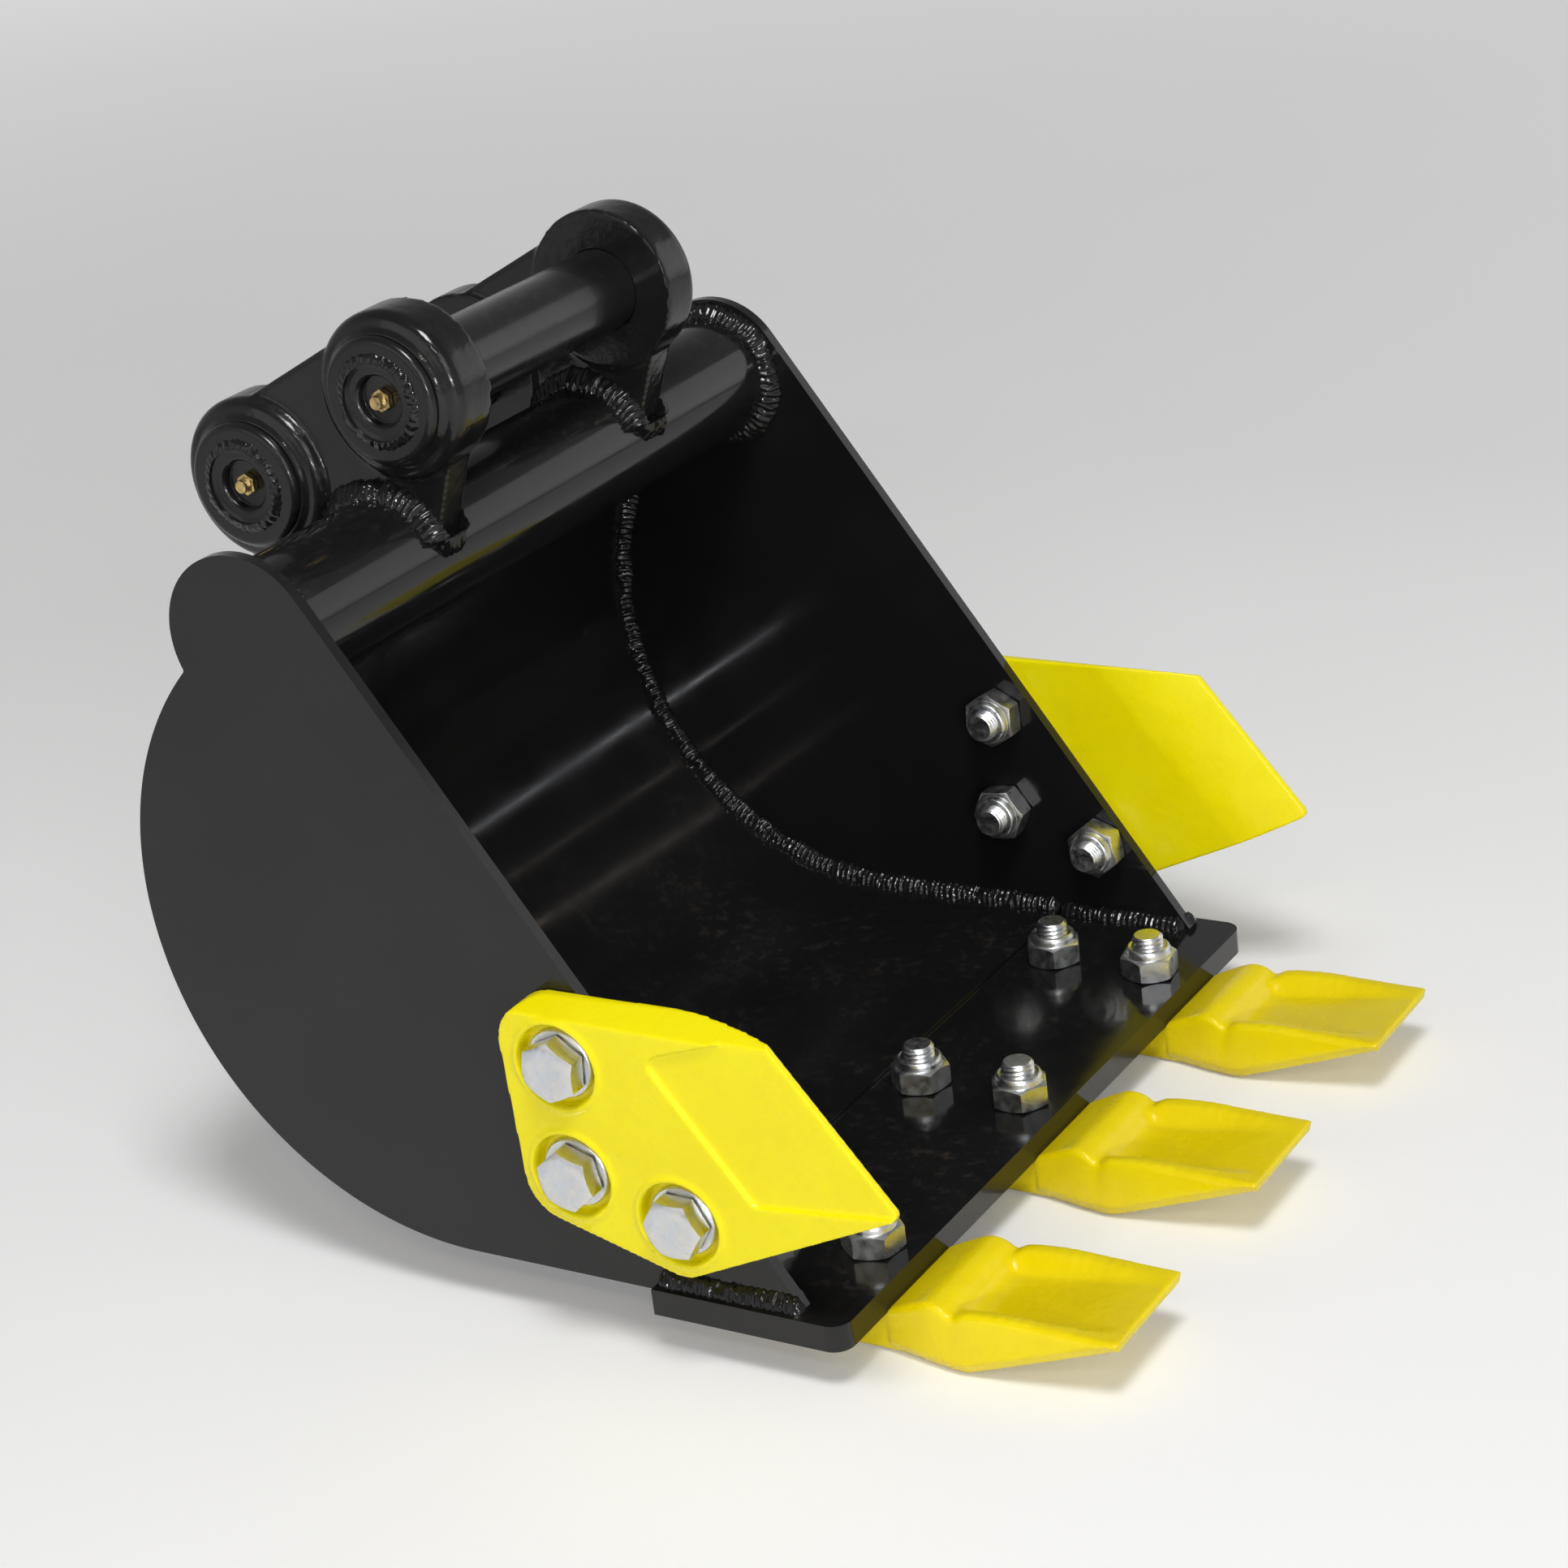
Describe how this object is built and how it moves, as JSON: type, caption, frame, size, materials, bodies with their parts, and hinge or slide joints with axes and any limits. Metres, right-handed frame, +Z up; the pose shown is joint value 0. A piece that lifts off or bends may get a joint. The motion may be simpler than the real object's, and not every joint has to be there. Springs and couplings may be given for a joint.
{
  "type": "excavator bucket",
  "caption": "Small digging bucket: curved welded shell, cast ears with pins, bolt-on teeth under a flat lip and bolt-on side cutters.",
  "frame": {"origin": "bottom centre of the whole bucket's box, on the level of the teeth's flat undersides", "axes": "+X to the operator's right across the bucket, -Y the way the teeth point, +Y towards the back, +Z up out of the floor"},
  "size_m": [0.3884, 0.4246, 0.378],
  "materials": {
    "black_paint": "gloss black paint on steel plate",
    "black_cast_paint": "gloss black paint on cast steel",
    "pin_black": "satin black steel",
    "yellow_paint": "thick gloss yellow paint on castings",
    "zinc_plate": "bright zinc plating",
    "nipple_brass": "dull yellow-passivated fitting"
  },
  "bodies": {
    "bucket": {"side_plate_left": "black_paint", "side_plate_right": "black_paint", "wrapper_plate": "black_paint", "top_tube": "black_paint", "cutting_edge": "black_paint", "ear_left": "black_cast_paint", "ear_right": "black_cast_paint", "tooth_left": "yellow_paint", "tooth_middle": "yellow_paint", "tooth_right": "yellow_paint", "side_cutter_left": "yellow_paint", "side_cutter_right": "yellow_paint", "tooth_left_front_bolt": "zinc_plate", "tooth_left_front_nut": "zinc_plate", "tooth_left_rear_bolt": "zinc_plate", "tooth_left_rear_nut": "zinc_plate", "tooth_middle_front_bolt": "zinc_plate", "tooth_middle_front_nut": "zinc_plate", "tooth_middle_rear_bolt": "zinc_plate", "tooth_middle_rear_nut": "zinc_plate", "tooth_right_front_bolt": "zinc_plate", "tooth_right_front_nut": "zinc_plate", "tooth_right_rear_bolt": "zinc_plate", "tooth_right_rear_nut": "zinc_plate", "cutter_left_washer_1": "zinc_plate", "cutter_left_washer_2": "zinc_plate", "cutter_left_washer_3": "zinc_plate", "cutter_left_bolt_1": "zinc_plate", "cutter_left_bolt_2": "zinc_plate", "cutter_left_bolt_3": "zinc_plate", "cutter_left_nut_1": "zinc_plate", "cutter_left_nut_2": "zinc_plate", "cutter_left_nut_3": "zinc_plate", "cutter_right_washer_1": "zinc_plate", "cutter_right_washer_2": "zinc_plate", "cutter_right_washer_3": "zinc_plate", "cutter_right_bolt_1": "zinc_plate", "cutter_right_bolt_2": "zinc_plate", "cutter_right_bolt_3": "zinc_plate", "cutter_right_nut_1": "zinc_plate", "cutter_right_nut_2": "zinc_plate", "cutter_right_nut_3": "zinc_plate"},
    "arm_pin_body": {"arm_pin": "pin_black", "arm_pin_nipple": "nipple_brass", "arm_pin_end_washer": "zinc_plate", "arm_pin_end_bolt": "zinc_plate"},
    "link_pin_body": {"link_pin": "pin_black", "link_pin_nipple": "nipple_brass", "link_pin_end_washer": "zinc_plate", "link_pin_end_bolt": "zinc_plate"}
  },
  "joints": [
    {"name": "arm_pin_turn", "type": "hinge", "parent": "bucket", "child": "arm_pin_body", "pos_m": [0, 0.10316, 0.34401], "axis": [1, 0, 0], "continuous": true},
    {"name": "link_pin_turn", "type": "hinge", "parent": "bucket", "child": "link_pin_body", "pos_m": [0, 0.17825, 0.30505], "axis": [1, 0, 0], "continuous": true}
  ]
}
